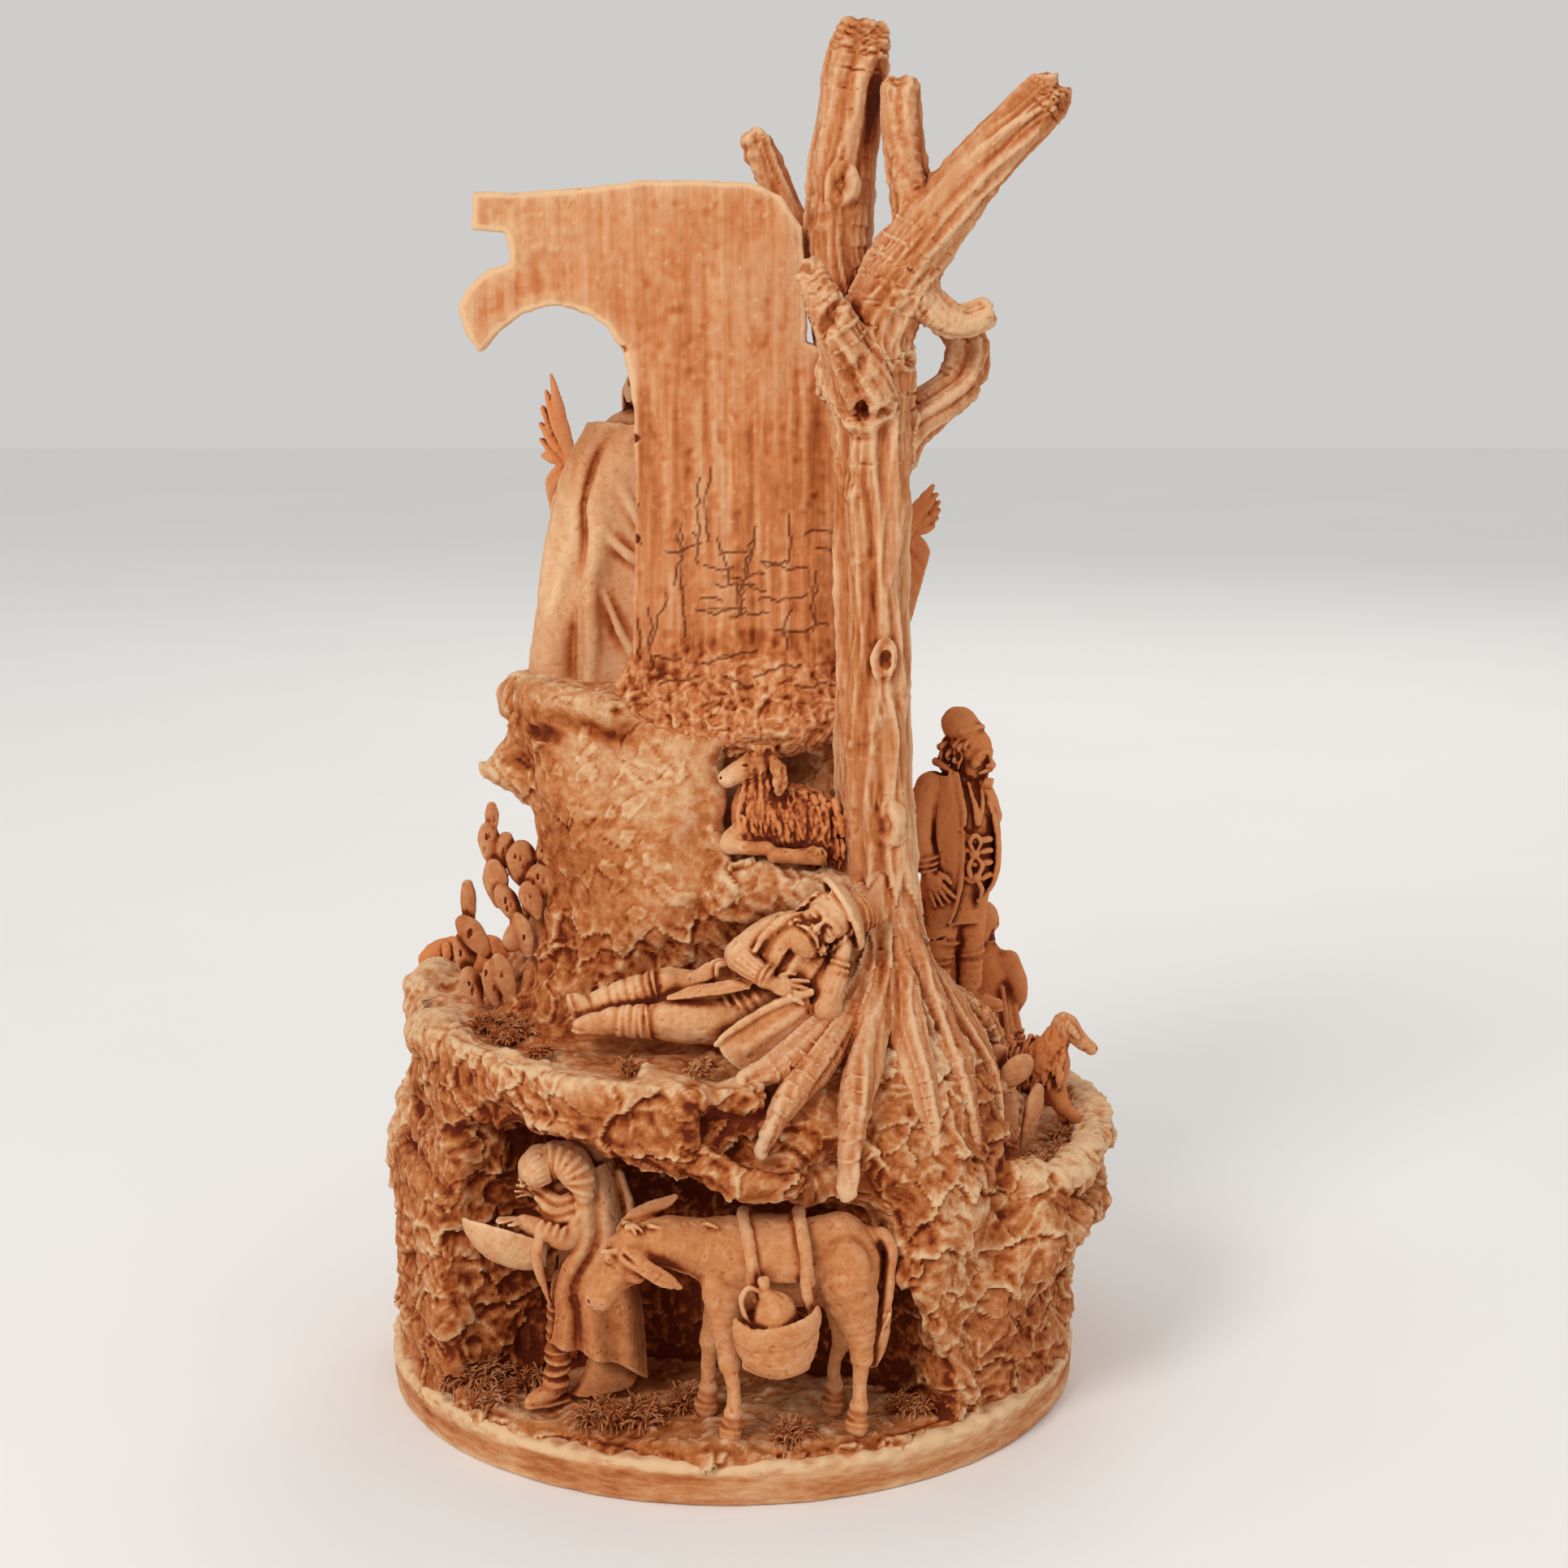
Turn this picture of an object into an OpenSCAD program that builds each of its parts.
// Terracotta presepe group on a round base, modelled as the separate clay pieces that are luted
// together before firing: a drum of rock with a cave, a crag, a ruined wall, a bare tree, people,
// animals, cacti and grass. Millimetres, +Z up. X runs left to right and Y runs away from the side
// with the cave. The origin is the centre of the base's underside.

/* [Base and rock] */
// Radius of the plinth
base_r = 158; // [150:1:162]
// Height of the plain band round the foot
plinth_h = 16; // [12:1:20]
// Height of the ledge above the cave
ledge_z = 176; // [172:1:180]
// Height of the floor of the low terrace on the right
terrace_z = 114; // [110:1:118]
// Height of the platform on top of the crag
crag_z = 312; // [306:1:316]
// How far the cave runs in from the front of the drum
cave_depth = 94; // [80:1:96]
// Radius of the hollow scooped out from below, behind the cave
hollow_r = 126; // [110:1:130]

/* [Wall] */
// Thickness of the wall slab
wall_t = 14; // [10:1:18]
// Height of the top of the wall
wall_top = 532; // [528:1:540]
// Radius of the broken arch
arch_r = 34; // [28:1:36]

/* [Tree] */
// Radius of the trunk above its roots
trunk_r = 15; // [12:0.5:17]
// Height of the tip of the tallest branch
tree_top = 600; // [590:1:604]

/* [Figures] */
// Height of a standing figure to the top of the cap
figure_h = 140; // [132:1:144]

/* [Hidden] */

clay = "#c8794b";
pale_clay = "#dfa77c";
dark_clay = "#a5532c";

// Driving sizes follow from these places. Each figure's own lists of joints start at its place.
size_k = figure_h / 140;
cave_floor = plinth_h + 8;
cave_plan = [for (a = [-180 : 10 : 180]) [122 * cos(a), 1.06 * cave_depth * sin(a)]];
drum_r = base_r - 4;
terrace_x = 98;
jug_r = 8;
hollow_top = ledge_z - 34;
hollow_front = -base_r + cave_depth + 22;
arch_at = [-73, 448];
wall_y = -46;
trunk_x = 62;
trunk_y = -55;
donkey_at = [20, -130, cave_floor];
winnower_at = [-66, -95, cave_floor];
sleeper_at = [0, -95, ledge_z + 2];
sheep_at = [20, -56, 250];
peasant_at = [104, 12, ledge_z - 13];
goat_at = [138, 0, terrace_z - 2];
seated_at = [120, 55, terrace_z];
left_angel_at = [-66, 25, crag_z];
right_angel_at = [50, 34, crag_z - 8];
mother_at = [-46, 48, ledge_z];
father_at = [14, 46, ledge_z];
manger_at = [-17, 56, ledge_z];
roll_fn = 8;

// ---- shapes that repeat ----

// One rolled piece of clay between two points, thicker or thinner at either end.
module limb(a, b, ra, rb) {
    hull() {
        translate(a) sphere(r = ra, $fn = roll_fn);
        translate(b) sphere(r = rb, $fn = roll_fn);
    }
}

// Rolls joined end to end. Each entry of path is [x, y, z, radius].
module chain(path) {
    for (i = [0 : len(path) - 2])
        limb(xyz(path[i]), xyz(path[i + 1]), path[i][3], path[i + 1][3]);
}

// A stack of ovals. Each entry of rings is [z, x, y, half width, half depth].
module stack(rings) {
    for (i = [0 : len(rings) - 2])
        hull() {
            oval(rings[i]);
            oval(rings[i + 1]);
        }
}

module oval(ring) {
    translate([ring[1], ring[2], ring[0]])
        scale([ring[3], ring[4], 1])
            cylinder(r = 1, h = 0.4, $fn = 18);
}

// A low round tuft of clay strands.
module tuft(at, r, h) {
    translate(at) cylinder(r1 = r, r2 = r * 0.55, h = h, $fn = 8);
}

// A figure stands on its place and follows the height set for all of them.
module figure(at) {
    translate(at) scale(size_k) children();
}

// An upright slab between y0 and y1, from an outline in x and z.
module slab(outline, y0, y1) {
    translate([0, y1, 0]) rotate([90, 0, 0]) linear_extrude(y1 - y0) polygon(outline);
}

function xyz(p) = [p[0], p[1], p[2]];
function arc(centre, r, a0, a1, steps) =
    [for (i = [0 : steps]) let (a = a0 + (a1 - a0) * i / steps) centre + r * [cos(a), sin(a)]];
// The rough round outline of the drum of rock.
function rough_circle(r) =
    [for (a = [0 : 10 : 350]) (r + 1.5 * sin(3 * a) + 1.5 * sin(5 * a + 40)) * [cos(a), sin(a)]];

// ---- rock ----

module drum(r, z0, z1) {
    translate([0, 0, z0]) linear_extrude(z1 - z0) polygon(rough_circle(r));
}

// The clay is hollowed from below behind the cave, so that it fires through.
module hollow(r, z0, z1) {
    translate([0, 0, z0]) intersection() {
        cylinder(r = r, h = z1 - z0, $fn = 96);
        translate([-200, hollow_front, 0]) cube([400, 400, z1 - z0]);
    }
}

module shoulder() {
    translate([0, 0, terrace_z - 24])
        linear_extrude(ledge_z - terrace_z + 9)
            polygon([[80, -58], [112, -56], [122, -30], [125, 10], [116, 40], [80, 48]]);
}

// The cave's roof and walls seen from the front, cut to a rounded plan.
module cave() {
    intersection() {
        slab([
            [-136, cave_floor], [-136, 70], [-126, 116], [-100, 144], [-60, 150], [-20, 142],
            [24, 132], [62, 122], [88, 98], [100, cave_floor]
        ], -base_r - 10, -base_r + cave_depth);
        translate([-20, -base_r, 0]) linear_extrude(200) polygon(cave_plan);
    }
}

module plinth() {
    color(dark_clay) difference() {
        cylinder(r = base_r, h = plinth_h, $fn = 128);
        hollow(hollow_r, -1, plinth_h + 1);
    }
}

// The solid mass of the drum, before it is hollowed.
module rock_below() {
    difference() {
        union() {
            drum(drum_r, plinth_h, terrace_z - 22);
            intersection() {
                drum(drum_r - 8, terrace_z - 24, ledge_z);
                translate([-200, -200, 0]) cube([200 + terrace_x, 400, 300]);
            }
            shoulder();
        }
        cave();
    }
}

module lower_rock() {
    color(clay) difference() {
        rock_below();
        hollow(hollow_r, plinth_h - 1, terrace_z - 36);
        hollow(hollow_r - 42, terrace_z - 37, hollow_top);
        intersection() {
            hollow(hollow_r - 8, terrace_z - 37, hollow_top);
            translate([-200, 0, 0]) cube([260, 200, 200]);
        }
    }
}

module right_terrace() {
    color(clay) difference() {
        intersection() {
            union() {
                drum(drum_r + 12, terrace_z - 22, terrace_z);
                difference() {
                    drum(drum_r + 14, terrace_z - 12, terrace_z + 6);
                    translate([0, 0, terrace_z]) cylinder(r = drum_r + 4, h = 20, $fn = 96);
                }
            }
            translate([terrace_x, -104, 0]) cube([120, 190, 300]);
        }
        shoulder();
    }
}

module left_outcrop() {
    color(pale_clay) chain([[-142, 24, 72, 9], [-150, 22, 96, 15], [-151, 18, 118, 14]]);
}

module upper_rock() {
    color(clay) difference() {
        union() {
            stack([
                [ledge_z, -20, 0, 76, 76], [206, -20, 0, 68, 68], [250, -20, 0, 68, 62],
                [284, -18, 4, 74, 60], [crag_z - 0.4, -14, 12, 78, 62]
            ]);
            limb([-80, -8, 276], [-106, -6, 284], 14, 6);
            limb([-70, -20, 306], [-40, -38, 308], 12, 9);
        }
        sheep_niche();
        grotto();
        wall_slab();
        trunk_shape();
    }
}

module sheep_niche() {
    slab([[-2, 250], [-2, 290], [20, 301], [60, 301], [60, 250]], -90, -36);
}

module grotto() {
    slab([
        [-68, ledge_z - 1], [-70, 236], [-52, 268], [-17, 280], [18, 270], [36, 238],
        [36, ledge_z - 1]
    ], -4, 100);
}

// ---- wall ----

// The foot of the slab is let into the front of the crag.
module wall_slab() {
    top = wall_top;
    slab(concat(
        arc(arch_at, arch_r, 0, 150, 15),
        arc(arch_at, arch_r + 19, 158, 110, 6),
        [[-90, top - 30], [-90, top - 18], [-106, top - 18], [-106, top - 3], [-68, top - 2],
         [-32, top + 2], [10, top + 1], [22, top - 4], [32, top - 17], [32, 468], [46, 464],
         [46, 312], [30, 300], [2, 296], [-26, 304], [-44, 316]]
    ), wall_y, wall_y + wall_t);
}

module ruin_wall() {
    color(pale_clay) difference() {
        union() {
            wall_slab();
            translate([-105, wall_y + wall_t, wall_top - 18]) cube([14, 14, 14]);
        }
        trunk_shape();
    }
}

// ---- tree ----

module trunk_shape() {
    chain([
        [trunk_x + 3, trunk_y - 4, 200, trunk_r + 5], [trunk_x + 2, trunk_y, 240, trunk_r + 1],
        [trunk_x, trunk_y, 340, trunk_r], [trunk_x - 2, trunk_y, 410, trunk_r],
        [trunk_x - 3, trunk_y, 462, trunk_r + 1]
    ]);
}

module trunk() {
    color(clay) trunk_shape();
}

// The roots lie on the rock and meet the foot of the trunk.
module roots() {
    color(clay) difference() {
        union() {
            chain([[62, -68, 206, 11], [52, -88, 194, 9], [36, -108, 181, 8], [14, -124, 174, 5]]);
            chain([[64, -72, 200, 10], [58, -108, 182, 8], [54, -140, 166, 7], [50, -145, 146, 5]]);
            chain([[74, -60, 204, 10], [90, -58, 186, 8], [106, -56, 164, 8], [112, -52, 146, 7]]);
            chain([[68, -70, 196, 9], [88, -96, 176, 8], [104, -100, 150, 7], [108, -98, 132, 6]]);
        }
        trunk_shape();
        rock_below();
    }
}

// A branch, cut to meet the trunk.
module branch(paths) {
    color(clay) difference() {
        for (path = paths)
            chain(path);
        trunk_shape();
    }
}

module tall_branch() {
    branch([[[50, -36, 478, 13], [46, -32, 515, 12], [50, -30, 555, 11.5],
             [56, -30, tree_top - 10, 10]]]);
}

module forked_branch() {
    branch([
        [[56, -58, 474, 14], [72, -57, 502, 12], [92, -56, 526, 10], [130, -55, 568, 8.5]],
        [[78, -50, 512, 9], [75, -46, 540, 8], [72, -44, 570, 7]]
    ]);
}

module thin_branch() {
    branch([[[44, -24, 484, 7], [27, -12, 514, 6], [12, -10, 550, 5.5]]]);
}

module looped_branch() {
    branch([[[68, -50, 430, 9], [82, -42, 444, 8], [96, -36, 452, 8], [100, -28, 466, 8],
             [88, -22, 482, 7], [68, -34, 488, 8]]]);
}

module cut_branch() {
    branch([[[68, -60, 498, 8], [80, -62, 484, 7], [92, -58, 476, 6], [108, -56, 478, 5]]]);
}

module snag_branch() {
    branch([[[58, -70, 452, 10], [46, -76, 474, 8], [33, -76, 496, 4.5]]]);
}

// ---- donkey with its pack ----

// Every figure starts from its body, and the pieces laid on the body are cut to meet it.
module on_body(at) {
    color(clay) figure(at) difference() {
        children(0);
        children(1);
    }
}

module donkey_core() {
    chain([[-16, 2, 67, 16.5], [5, 3, 67, 15.5], [27, 4, 68, 18]]);
    chain([[-18, 1, 72, 13], [-36, -1, 78, 10], [-54, -4, 80, 9.5], [-70, -6, 61, 6.5]]);
}

module donkey_body() {
    color(clay) figure(donkey_at) donkey_core();
}

module donkey_legs() {
    on_body(donkey_at) {
        union() {
            donkey_leg([-17, -8, 56], [-18, -11, 32], [-17, -14, 8], 8);
            donkey_leg([-20, 12, 56], [-26, 12, 32], [-28, 12, 8], 8);
            donkey_leg([31, -5, 56], [33, -6, 31], [35, -7, 8], 10);
            donkey_leg([29, 13, 56], [27, 14, 31], [25, 14, 8], 10);
        }
        donkey_core();
    }
}

module donkey_leg(hip, knee, fetlock, r) {
    limb(hip, knee, r, 5.5);
    limb(knee, fetlock, 5.2, 4.5);
    translate([fetlock[0] - 1, fetlock[1] - 0.5, 0]) cylinder(r1 = 6, r2 = 4.5, h = 7, $fn = 10);
}

module donkey_ears() {
    on_body(donkey_at) {
        union() {
            chain([[-57, 0, 88, 2.2], [-50, 5, 90, 3], [-44, 9, 93, 1.5]]);
            chain([[-56, -12, 81, 2.2], [-47, -15, 75, 3.5], [-38, -14, 69, 1.8]]);
        }
        donkey_core();
    }
}

module donkey_tail() {
    on_body(donkey_at) {
        chain([[43, 3, 80, 3], [48, 2, 70, 2.6], [46, 0, 50, 2.4], [43, 0, 34, 4], [41, 0, 24, 2]]);
        donkey_core();
    }
}

module pack_cloth() {
    color(pale_clay) figure(donkey_at) difference() {
        translate([-12, 3, 67]) rotate([0, 90, 0]) cylinder(r = 20.4, h = 28, $fn = 48);
        translate([-13, 3, 67]) rotate([0, 90, 0]) cylinder(r = 18.2, h = 30, $fn = 48);
        translate([-20, -30, 20]) cube([50, 60, 36]);
    }
}

// The pouch hangs from the cloth, and its pocket holds the jug.
module pack_bag() {
    color(pale_clay) figure(donkey_at) difference() {
        hull()
            for (corner = [[-6, 40, 4], [10, 40, 4], [-12, 56, 5], [16, 58, 5]]) {
                translate([corner[0], -20, corner[1]]) sphere(r = corner[2], $fn = 12);
                translate([corner[0], -26, corner[1]]) sphere(r = corner[2], $fn = 12);
            }
        translate([1, -23, 42]) cylinder(r = jug_r + 0.2, h = 30, $fn = 48);
        donkey_core();
        translate([-30, 3, 67]) rotate([0, 90, 0]) cylinder(r = 20.4, h = 60, $fn = 48);
    }
}

module water_jug() {
    color(clay) figure(donkey_at) translate([1, -23, 42]) rotate_extrude($fn = 48)
        polygon([
            [0, 0], [4, 0], [jug_r - 0.5, 5], [jug_r, 12], [jug_r - 1, 20], [3, 25],
            [2.6, 28], [3.8, 31], [2.6, 31], [1.6, 28], [0, 27]
        ]);
}

// ---- woman with a winnowing basket ----

module winnower_core() {
    chain([[4, 10, 48, 11], [3, 9, 66, 10], [0, 8, 80, 10], [-8, 5, 94, 8]]);
    chain([[2, 1, 82, 6], [0, -4, 71, 6], [-14, -4, 71, 5], [-25, -3, 77, 3]]);
    chain([[0, 14, 84, 5], [-12, 13, 80, 5], [-23, 9, 88, 3.5]]);
}

module winnower_body() {
    color(clay) figure(winnower_at) winnower_core();
}

module winnower_feet() {
    chain([[-3, 3, 46, 8], [-10, -4, 28, 6.5], [-12, -11, 7, 5.5], [-19, -15, 4, 4]]);
    chain([[8, 12, 46, 8], [12, 14, 26, 6], [14, 15, 6, 5]]);
}

module winnower_legs() {
    on_body(winnower_at) {
        winnower_feet();
        winnower_core();
    }
}

module winnower_robe() {
    on_body(winnower_at) {
        union() {
            chain([[8, 10, 92, 8], [13, 13, 72, 9], [16, 14, 44, 11]]);
            stack([[12, 10, 8, 21, 10], [44, 12, 11, 15, 12], [66, 12, 13, 10, 9]]);
            limb([24, 6, 16], [29, 4, 5], 5, 2.5);
        }
        union() {
            winnower_core();
            winnower_feet();
        }
    }
}

module winnower_scarf() {
    on_body(winnower_at) {
        chain([[-13, 5, 101, 9], [-2, 6, 103, 9.5], [8, 5, 94, 7.5], [9, 1, 86, 4.5]]);
        winnower_core();
    }
}

// A shallow round tray, tilted to toss the grain.
module winnowing_basket() {
    color(pale_clay) figure(winnower_at)
        translate([-31, 0, 65]) rotate([4, -14, 0]) rotate_extrude($fn = 64)
            polygon([[0, 0], [9, 0.5], [15, 4], [19, 11], [17.2, 12], [13.6, 5.8], [8.5, 2.4], [0, 2]]);
}

// ---- sleeping shepherd ----

module sleeper_core() {
    chain([[0, 3, 12, 11], [14, 5, 22, 11], [28, 5, 33, 11], [36, 8, 42, 7]]);
    chain([[20, 10, 41, 7], [8, 6, 34, 6.5], [5, -2, 28, 5.5], [18, -9, 28, 5], [32, -12, 27, 4]]);
    chain([[38, 4, 34, 6], [43, -10, 19, 7], [45, -6, 30, 4.5], [46, 0, 42, 4]]);
}

module sleeper_face() {
    chain([[42, 8, 52, 9.5], [35, 2, 45, 8]]);
    limb([35, 2, 45], [30, -2, 37], 6, 3.5);
}

module sleeper_body() {
    color(pale_clay) figure(sleeper_at) sleeper_core();
}

module sleeper_legs() {
    on_body(sleeper_at) {
        union() {
            chain([[-2, 7, 14, 9], [-26, 7, 21, 7.5], [-44, 7, 18, 6], [-58, 7, 14, 5.5],
                   [-60, 4, 19, 4.5]]);
            chain([[-2, -3, 10, 9], [-26, -5, 9, 8], [-46, -4, 7, 6.5], [-60, -3, 6, 5],
                   [-68, -4, 5, 4]]);
        }
        sleeper_core();
    }
}

module sleeper_coat() {
    on_body(sleeper_at) {
        union() {
            chain([[34, -8, 26, 4], [18, -14, 15, 5], [6, -19, 4, 4]]);
            chain([[16, -4, 20, 4], [-2, -8, 20, 3.5], [-20, -2, 26, 2.5]]);
        }
        sleeper_core();
    }
}

module sleeper_head() {
    on_body(sleeper_at) {
        sleeper_face();
        sleeper_core();
    }
}

module sleeper_hat() {
    on_body(sleeper_at) {
        union() {
            hull() {
                translate([42, 8, 66]) sphere(r = 3, $fn = 8);
                translate([50, 22, 62]) sphere(r = 3, $fn = 8);
                translate([58, 4, 40]) sphere(r = 3, $fn = 8);
                translate([57, 14, 38]) sphere(r = 3, $fn = 8);
            }
            limb([51, 13, 54], [66, 20, 52], 9, 3);
        }
        union() {
            sleeper_core();
            sleeper_face();
        }
    }
}

// ---- lying sheep ----

module sheep_core() {
    chain([[-9, 1, 17, 11], [5, 4, 16, 12.5], [18, 8, 15, 12]]);
    chain([[-9, 0, 22, 10], [-7, -3, 34, 7]]);
}

module sheep_body() {
    color(dark_clay) figure(sheep_at) sheep_core();
}

module sheep_head() {
    on_body(sheep_at) {
        union() {
            chain([[-4, -4, 46, 6], [-7, -6, 40, 7], [-16, -10, 37, 4.5]]);
            limb([0, -8, 40], [2, -9, 29], 2.4, 2.4);
        }
        sheep_core();
    }
}

module sheep_legs() {
    on_body(sheep_at) {
        union() {
            chain([[-12, -6, 12, 4], [-17, -8, 6, 4], [-4, -11, 4, 3]]);
            chain([[20, -2, 8, 4.5], [12, -9, 4, 3.6], [1, -11, 3.5, 3.2]]);
        }
        sheep_core();
    }
}

// ---- standing peasant ----

module peasant_core() {
    chain([[-2, 1, 56, 10], [0, 2, 76, 10], [0, 2, 96, 10], [1, 3, 108, 6]]);
    chain([[-12, -2, 103, 6.5], [-17, -7, 84, 5.5], [-14, -10, 68, 5], [-10, -12, 58, 4]]);
    chain([[9, 8, 102, 6], [15, 6, 84, 5], [13, 0, 100, 3.5], [12, -1, 107, 3.5]]);
}

module peasant_body() {
    color(dark_clay) figure(peasant_at) peasant_core();
}

module peasant_legs() {
    on_body(peasant_at) {
        union() {
            chain([[-8, -2, 52, 8], [-10, -4, 30, 7], [-9, -3, 7, 5.5], [-5, -7, 4, 4.5]]);
            chain([[4, 3, 52, 8], [4, 3, 30, 7], [4, 2, 7, 5.5], [13, -2, 4, 4.5]]);
        }
        peasant_core();
    }
}

module peasant_coat() {
    on_body(peasant_at) {
        union() {
            stack([[64, -2, 0, 15, 12], [80, -1, 1, 13, 11], [98, -2, 1, 14, 11], [106, 0, 3, 9, 8]]);
            chain([[11, 10, 98, 6], [15, 8, 76, 5], [13, 7, 58, 4]]);
        }
        peasant_core();
    }
}

module peasant_head() {
    on_body(peasant_at) {
        peasant_face();
        peasant_core();
    }
}

module peasant_face() {
    chain([[1, 3, 123, 9.5], [6, 0, 116, 8]]);
    limb([6, 0, 116], [9, -1, 109], 6.5, 3.5);
}

module peasant_cap() {
    on_body(peasant_at) {
        limb([-3, 4, 128], [-4, 5, 132], 9, 7);
        peasant_face();
    }
}

// ---- goat ----

module goat_core() {
    chain([[-13, 9, 27, 9], [0, 2, 31, 10.5], [7, -4, 31, 10]]);
    chain([[6, -6, 34, 8], [10, -9, 47, 5.5]]);
}

module goat_body() {
    color(dark_clay) figure(goat_at) goat_core();
}

module goat_head() {
    on_body(goat_at) {
        union() {
            chain([[10, -9, 51, 5.5], [15, -11, 47, 4.8], [21, -12, 40, 3.5]]);
            limb([10, -14, 50], [13, -16, 42], 2.4, 1.6);
        }
        goat_core();
    }
}

module goat_legs() {
    on_body(goat_at) {
        union() {
            chain([[9, -8, 22, 4.5], [13, -10, 13, 3.5], [20, -12, 4.6, 2.6]]);
            chain([[6, 3, 22, 4.5], [10, 4, 13, 3.5], [14, 4, 4.6, 2.6]]);
            chain([[-13, 5, 22, 5], [-11, 5, 12, 3.2], [-13, 5, 4.6, 2.6]]);
            chain([[-17, 13, 22, 5], [-18, 14, 12, 3.2], [-19, 13, 4.6, 2.6]]);
        }
        goat_core();
    }
}

module seated_figure() {
    color(clay) figure(seated_at) {
        stack([[0, 0, 4, 20, 22], [22, 0, 2, 18, 18], [44, 0, 0, 13, 11], [62, -1, 0, 13, 9],
               [70, -2, 0, 5, 5]]);
        limb([-2, 0, 74], [-2, 0, 82], 6, 9);
        chain([[10, -2, 60, 5], [13, -4, 40, 5], [10, 6, 26, 4.5]]);
        chain([[-13, 2, 60, 5], [-16, 2, 40, 5], [-12, 10, 26, 4.5]]);
    }
}

// ---- angels ----

module angel_robe() {
    stack([[0, 0, 0, 22, 20], [40, -2, 2, 19, 16], [84, 4, 2, 17, 13], [108, 14, 2, 14, 12]]);
    limb([16, 2, 110], [20, 4, 118], 10, 7);
}

module angel_wing(side) {
    chain([[2 * side, 16, 92, 5], [9 * side, 26, 108, 5], [13 * side, 30, 130, 3]]);
    chain([[9 * side, 26, 106, 5], [12 * side, 30, 80, 5], [13 * side, 30, 54, 3]]);
}

module left_angel_robe() {
    color(pale_clay) figure(left_angel_at) angel_robe();
}

module left_angel_head() {
    color(pale_clay) figure(left_angel_at) chain([[27, 7, 124, 7], [33, 9, 130, 9]]);
}

module left_angel_wings() {
    color(dark_clay) figure(left_angel_at) {
        translate([-3, 2, 0]) angel_wing(-1);
        translate([12, 2, 0]) angel_wing(1);
    }
}

module right_angel_robe() {
    color(pale_clay) figure(right_angel_at) mirror([1, 0, 0]) scale(0.86) angel_robe();
}

module right_angel_head() {
    color(pale_clay) figure(right_angel_at) chain([[-23, 6, 107, 6], [-28, 8, 112, 8]]);
}

module right_angel_wings() {
    color(dark_clay) figure(right_angel_at) scale(0.86) {
        translate([28, -14, -18]) angel_wing(1);
        translate([-6, -10, -18]) angel_wing(-1);
    }
}

// ---- family in the grotto ----

module mother() {
    color(pale_clay) figure(mother_at) {
        stack([[0, 0, 0, 15, 18], [30, 0, 0, 11, 12], [52, 2, 2, 10, 8]]);
        chain([[2, 2, 54, 7], [5, 4, 66, 7.5]]);
        chain([[4, 9, 46, 4], [12, 13, 36, 3.5], [15, 12, 42, 3]]);
    }
}

module father() {
    color(clay) figure(father_at) {
        stack([[0, 0, 0, 14, 18], [34, 0, 0, 12, 12], [60, -2, 2, 11, 8]]);
        chain([[-2, 2, 62, 7], [-5, 4, 75, 7.5]]);
        chain([[-6, 9, 52, 4], [-13, 12, 42, 3.5], [-12, 12, 50, 3]]);
    }
}

module manger() {
    color(clay) figure(manger_at) {
        stack([[0, 0, 0, 9, 13], [10, 0, 0, 12, 16]]);
        chain([[0, -8, 13, 4.5], [0, 4, 13, 5.5], [0, 11, 15, 5]]);
    }
}

// ---- plants and the sheep behind the ledge ----

// A pad of prickly pear from its foot to its tip, r across the flat side.
module pad(foot, tip, r) {
    limb(foot, tip, r * 0.75, r);
}

module left_cactus() {
    color(pale_clay) {
        pad([-110, -44, 182], [-115, -42, 196], 5);
        pad([-102, -48, 184], [-104, -46, 200], 5);
        pad([-95, -50, 186], [-101, -46, 203], 5);
        pad([-116, -38, 196], [-116, -36, 211], 6);
        pad([-104, -42, 204], [-119, -38, 219], 5);
        pad([-113, -36, 221], [-115, -34, 237], 2.6);
        pad([-96, -44, 208], [-90, -44, 216], 6);
        pad([-88, -46, 206], [-92, -44, 220], 6);
        pad([-92, -42, 220], [-100, -40, 232], 5);
        pad([-84, -44, 222], [-88, -42, 234], 5);
        pad([-101, -38, 226], [-103, -36, 242], 6);
        pad([-84, -40, 230], [-83, -38, 240], 6);
        pad([-91, -36, 236], [-91, -34, 249], 7);
        pad([-80, -36, 240], [-80, -34, 252], 5);
        pad([-99, -34, 242], [-98, -32, 254], 4.5);
        pad([-104, -34, 244], [-106, -32, 258], 5);
        pad([-104, -32, 256], [-104, -30, 268], 3);
    }
}

module right_cactus() {
    color(clay) {
        pad([108, -62, terrace_z + 2], [109, -60, terrace_z + 24], 6);
        pad([118, -66, terrace_z + 2], [120, -64, terrace_z + 26], 6);
        pad([128, -60, terrace_z + 2], [134, -58, terrace_z + 28], 5);
        pad([109, -58, terrace_z + 28], [116, -60, terrace_z + 45], 6.5);
        pad([118, -64, terrace_z + 32], [127, -66, terrace_z + 42], 6.5);
        pad([116, -74, terrace_z + 2], [115, -74, terrace_z + 14], 4);
    }
}

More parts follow.
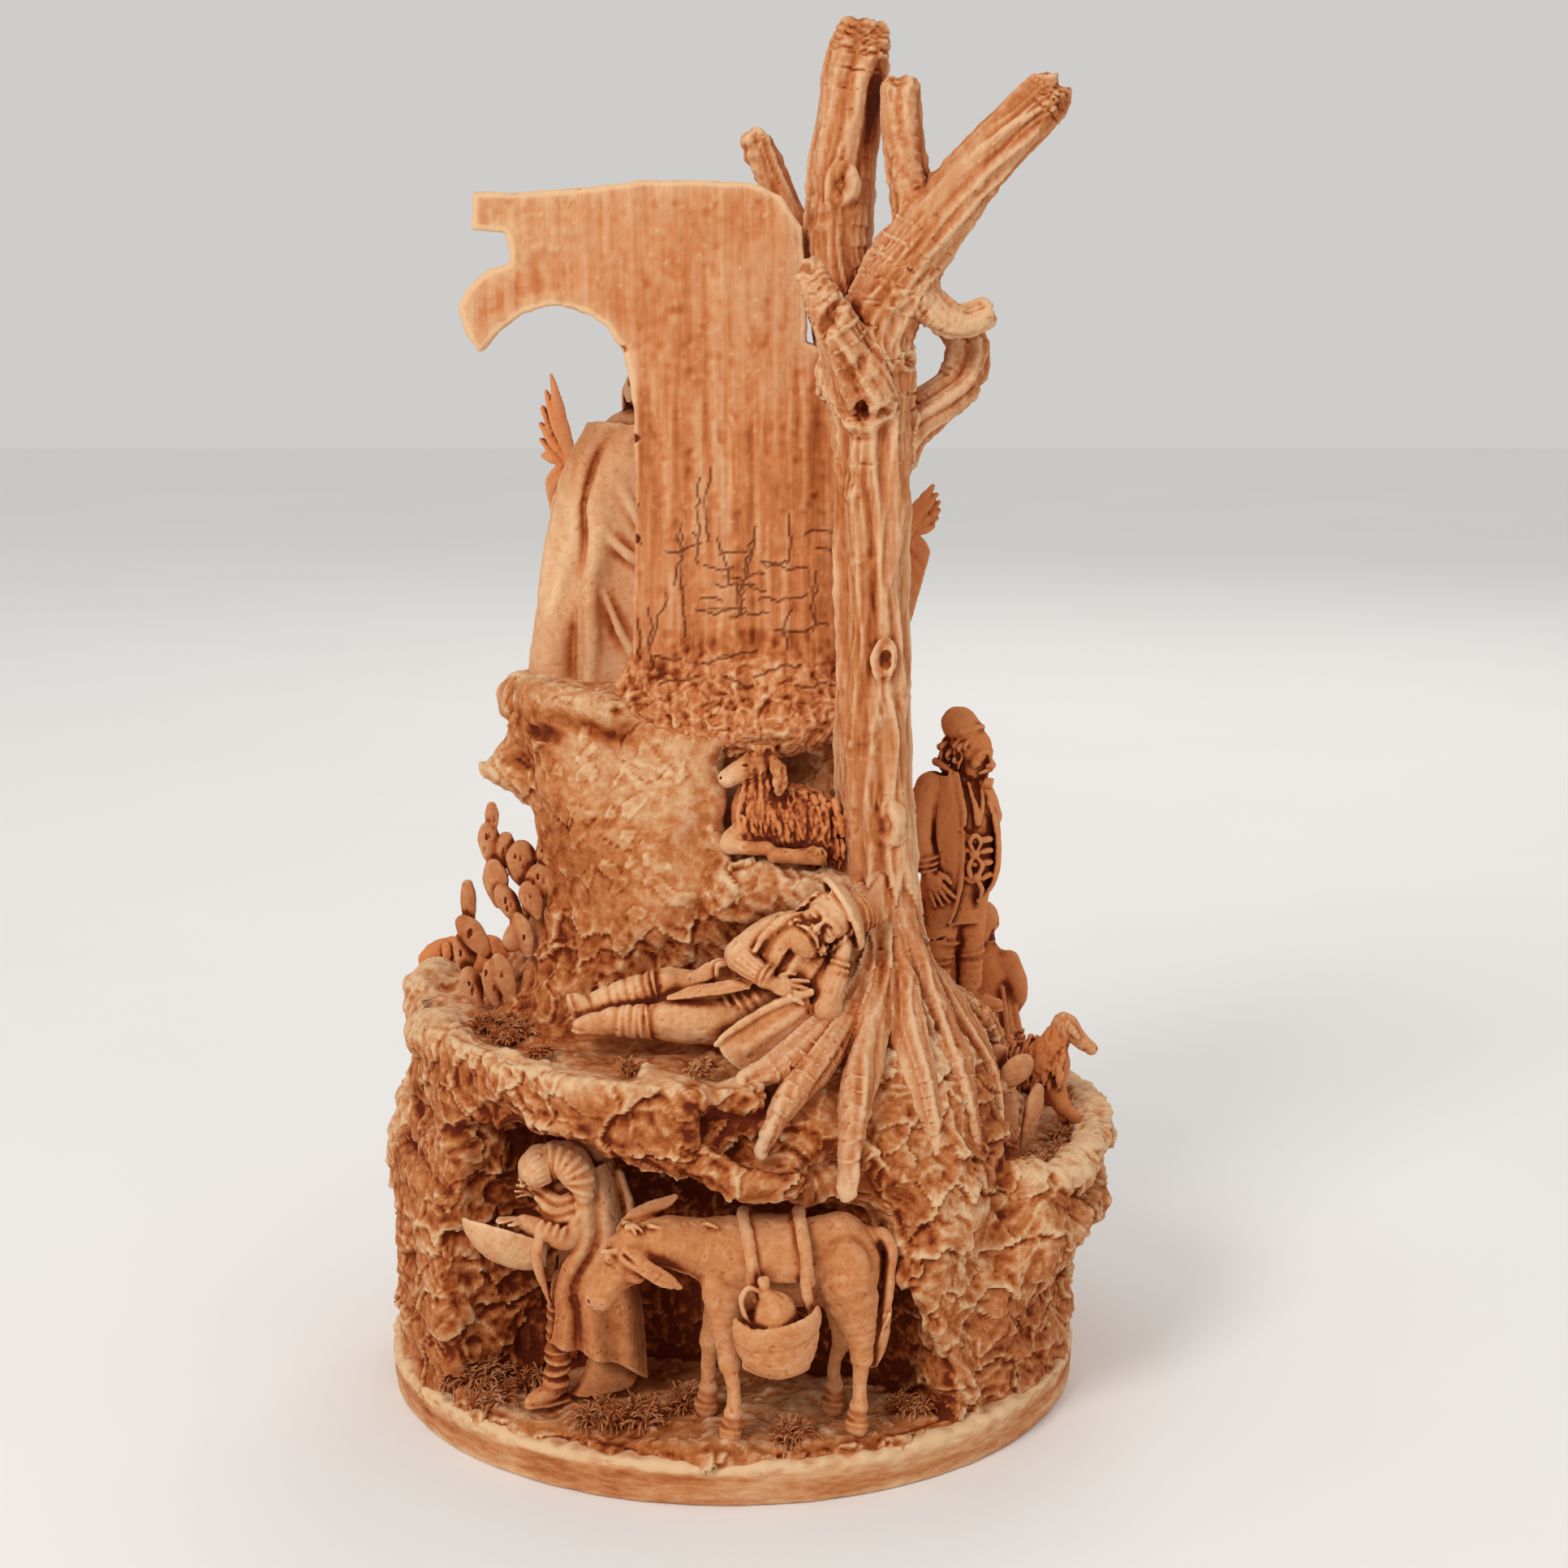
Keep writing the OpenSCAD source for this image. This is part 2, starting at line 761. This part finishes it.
module ledge_grass() {
    color(dark_clay) {
        tuft([-104, -64, ledge_z], 11, 9);
        tuft([-88, -72, ledge_z], 8, 8);
        tuft([-78, -104, ledge_z], 6, 5);
        tuft([-40, -122, ledge_z], 7, 5);
        tuft([-10, -124, ledge_z], 8, 6);
    }
}

module cave_grass() {
    color(dark_clay) {
        tuft([-108, -82, cave_floor], 14, 12);
        tuft([-102, -106, cave_floor], 11, 9);
        tuft([-84, -92, cave_floor], 7, 12);
        tuft([-54, -126, cave_floor], 11, 10);
        tuft([-36, -124, cave_floor], 11, 12);
        tuft([-20, -108, cave_floor], 8, 12);
        tuft([28, -142, cave_floor], 9, 9);
        tuft([76, -116, cave_floor], 10, 8);
    }
}

module terrace_grass() {
    color(dark_clay) {
        tuft([112, -84, terrace_z], 9, 9);
        tuft([124, -80, terrace_z], 9, 12);
        tuft([136, -66, terrace_z], 9, 9);
        tuft([146, -48, terrace_z], 8, 8);
        tuft([148, -30, terrace_z], 7, 7);
    }
}

module resting_sheep() {
    color(dark_clay) difference() {
        chain([[-112, 40, ledge_z + 8, 10], [-130, 36, ledge_z + 7, 10], [-144, 34, ledge_z + 3, 7]]);
        rock_below();
    }
}

plinth();
lower_rock();
right_terrace();
left_outcrop();
upper_rock();
ruin_wall();
trunk();
roots();
tall_branch();
forked_branch();
thin_branch();
looped_branch();
cut_branch();
snag_branch();
donkey_body();
donkey_legs();
donkey_ears();
donkey_tail();
pack_cloth();
pack_bag();
water_jug();
winnower_body();
winnower_legs();
winnower_robe();
winnower_scarf();
winnowing_basket();
sleeper_body();
sleeper_legs();
sleeper_coat();
sleeper_head();
sleeper_hat();
sheep_body();
sheep_head();
sheep_legs();
peasant_body();
peasant_legs();
peasant_coat();
peasant_head();
peasant_cap();
goat_body();
goat_head();
goat_legs();
seated_figure();
left_angel_robe();
left_angel_head();
left_angel_wings();
right_angel_robe();
right_angel_head();
right_angel_wings();
mother();
father();
manger();
left_cactus();
right_cactus();
ledge_grass();
cave_grass();
terrace_grass();
resting_sheep();
